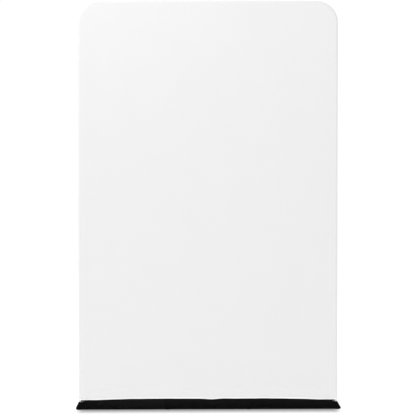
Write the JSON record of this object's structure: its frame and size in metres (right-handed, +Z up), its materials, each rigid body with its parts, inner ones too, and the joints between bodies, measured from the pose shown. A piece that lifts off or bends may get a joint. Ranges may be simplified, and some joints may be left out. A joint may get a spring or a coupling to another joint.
{
  "type": "partition wall",
  "caption": "Free-standing partition wall: a white zipped stretch cover with rounded top corners over a sectional tube frame, on a low black steel base.",
  "frame": {"origin": "on the floor, under the middle of the base", "axes": "+Z up, +X along the wall to the right seen from the front, +Y from the front to the back, where the zip is"},
  "size_m": [1.5, 0.3, 2.33],
  "materials": {
    "base_powder_coat": "black fine-texture powder coat, satin",
    "strap_powder_coat": "black powder coat, satin",
    "black_oxide_steel": "black oxide",
    "foot_rubber": "matt black rubber",
    "zinc_steel": "zinc plated",
    "spigot_steel": "zinc plated, drawn",
    "black_nylon": "moulded nylon",
    "sleeve_aluminium": "mill finish",
    "rivet_aluminium": "bright",
    "spring_steel": "hardened and tempered strip",
    "button_steel": "nickel plated",
    "tube_aluminium": "satin anodised, drawn",
    "cover_fabric": "white stretch polyester knit",
    "zip_tape": "white woven tape with a polyester coil",
    "zip_metal": "nickel-plated die casting"
  },
  "bodies": {
    "root": {"base_plate_left": "base_powder_coat", "base_plate_middle": "base_powder_coat", "base_plate_right": "base_powder_coat", "joiner_straps": "strap_powder_coat", "strap_screws": "black_oxide_steel", "rubber_feet": "foot_rubber", "foot_screws": "zinc_steel", "spigot_left": "spigot_steel", "spigot_right": "spigot_steel", "spigot_plugs": "spigot_steel", "spigot_screws": "black_oxide_steel", "lower_tube_left": "tube_aluminium", "middle_tube_left": "tube_aluminium", "upper_tube_left": "tube_aluminium", "corner_elbow_left": "tube_aluminium", "lower_tube_right": "tube_aluminium", "middle_tube_right": "tube_aluminium", "upper_tube_right": "tube_aluminium", "corner_elbow_right": "tube_aluminium", "top_rail_left": "tube_aluminium", "top_rail_right": "tube_aluminium", "bottom_bar_left": "tube_aluminium", "bottom_bar_right": "tube_aluminium", "bar_saddle_left": "black_nylon", "bar_saddle_right": "black_nylon", "sleeves_left": "sleeve_aluminium", "sleeves_right": "sleeve_aluminium", "sleeves_top": "sleeve_aluminium", "sleeve_bottom": "sleeve_aluminium", "sleeve_rivets": "rivet_aluminium", "snap_springs": "spring_steel", "cover_front": "cover_fabric", "cover_back": "cover_fabric", "cover_flap": "cover_fabric", "zip_half_upper": "zip_tape", "zip_half_lower": "zip_tape", "zip_stops": "zip_metal"},
    "snap_button_spigot_left_body": {"snap_button_spigot_left": "button_steel"},
    "snap_button_lower_left_body": {"snap_button_lower_left": "button_steel"},
    "snap_button_upper_left_body": {"snap_button_upper_left": "button_steel"},
    "snap_button_elbow_left_body": {"snap_button_elbow_left": "button_steel"},
    "snap_button_spigot_right_body": {"snap_button_spigot_right": "button_steel"},
    "snap_button_lower_right_body": {"snap_button_lower_right": "button_steel"},
    "snap_button_upper_right_body": {"snap_button_upper_right": "button_steel"},
    "snap_button_elbow_right_body": {"snap_button_elbow_right": "button_steel"},
    "snap_button_rail_left_body": {"snap_button_rail_left": "button_steel"},
    "snap_button_rail_middle_body": {"snap_button_rail_middle": "button_steel"},
    "snap_button_rail_right_body": {"snap_button_rail_right": "button_steel"},
    "snap_button_bar_body": {"snap_button_bar": "button_steel"},
    "zip_slider_body": {"zip_slider": "zip_metal"},
    "zip_pull_body": {"zip_pull": "zip_metal"}
  },
  "joints": [
    {"name": "press_spigot_left", "type": "slide", "parent": "root", "child": "snap_button_spigot_left_body", "axis": [-1, 0, 0], "range_m": [0, 0.004], "stiffness_N_per_m": 2500, "deforming": ["snap_springs"]},
    {"name": "press_lower_left", "type": "slide", "parent": "root", "child": "snap_button_lower_left_body", "axis": [-1, 0, 0], "range_m": [0, 0.004], "stiffness_N_per_m": 2500, "deforming": ["snap_springs"]},
    {"name": "press_upper_left", "type": "slide", "parent": "root", "child": "snap_button_upper_left_body", "axis": [-1, 0, 0], "range_m": [0, 0.004], "stiffness_N_per_m": 2500, "deforming": ["snap_springs"]},
    {"name": "press_elbow_left", "type": "slide", "parent": "root", "child": "snap_button_elbow_left_body", "axis": [-1, 0, 0], "range_m": [0, 0.004], "stiffness_N_per_m": 2500, "deforming": ["snap_springs"]},
    {"name": "press_spigot_right", "type": "slide", "parent": "root", "child": "snap_button_spigot_right_body", "axis": [1, 0, 0], "range_m": [0, 0.004], "stiffness_N_per_m": 2500, "deforming": ["snap_springs"]},
    {"name": "press_lower_right", "type": "slide", "parent": "root", "child": "snap_button_lower_right_body", "axis": [1, 0, 0], "range_m": [0, 0.004], "stiffness_N_per_m": 2500, "deforming": ["snap_springs"]},
    {"name": "press_upper_right", "type": "slide", "parent": "root", "child": "snap_button_upper_right_body", "axis": [1, 0, 0], "range_m": [0, 0.004], "stiffness_N_per_m": 2500, "deforming": ["snap_springs"]},
    {"name": "press_elbow_right", "type": "slide", "parent": "root", "child": "snap_button_elbow_right_body", "axis": [1, 0, 0], "range_m": [0, 0.004], "stiffness_N_per_m": 2500, "deforming": ["snap_springs"]},
    {"name": "press_rail_left", "type": "slide", "parent": "root", "child": "snap_button_rail_left_body", "axis": [0, 0, 1], "range_m": [0, 0.004], "stiffness_N_per_m": 2500, "deforming": ["snap_springs"]},
    {"name": "press_rail_middle", "type": "slide", "parent": "root", "child": "snap_button_rail_middle_body", "axis": [0, 0, 1], "range_m": [0, 0.004], "stiffness_N_per_m": 2500, "deforming": ["snap_springs"]},
    {"name": "press_rail_right", "type": "slide", "parent": "root", "child": "snap_button_rail_right_body", "axis": [0, 0, 1], "range_m": [0, 0.004], "stiffness_N_per_m": 2500, "deforming": ["snap_springs"]},
    {"name": "press_bar", "type": "slide", "parent": "root", "child": "snap_button_bar_body", "axis": [0, 0, -1], "range_m": [0, 0.004], "stiffness_N_per_m": 2500, "deforming": ["snap_springs"]},
    {"name": "zip_run", "type": "slide", "parent": "root", "child": "zip_slider_body", "axis": [-1, 0, 0], "range_m": [0, 1.369]},
    {"name": "pull_swing", "type": "hinge", "parent": "zip_slider_body", "child": "zip_pull_body", "pos_m": [0.6845, 0.02, 0.09], "axis": [0, 0, -1], "range_deg": [0, 175]}
  ]
}
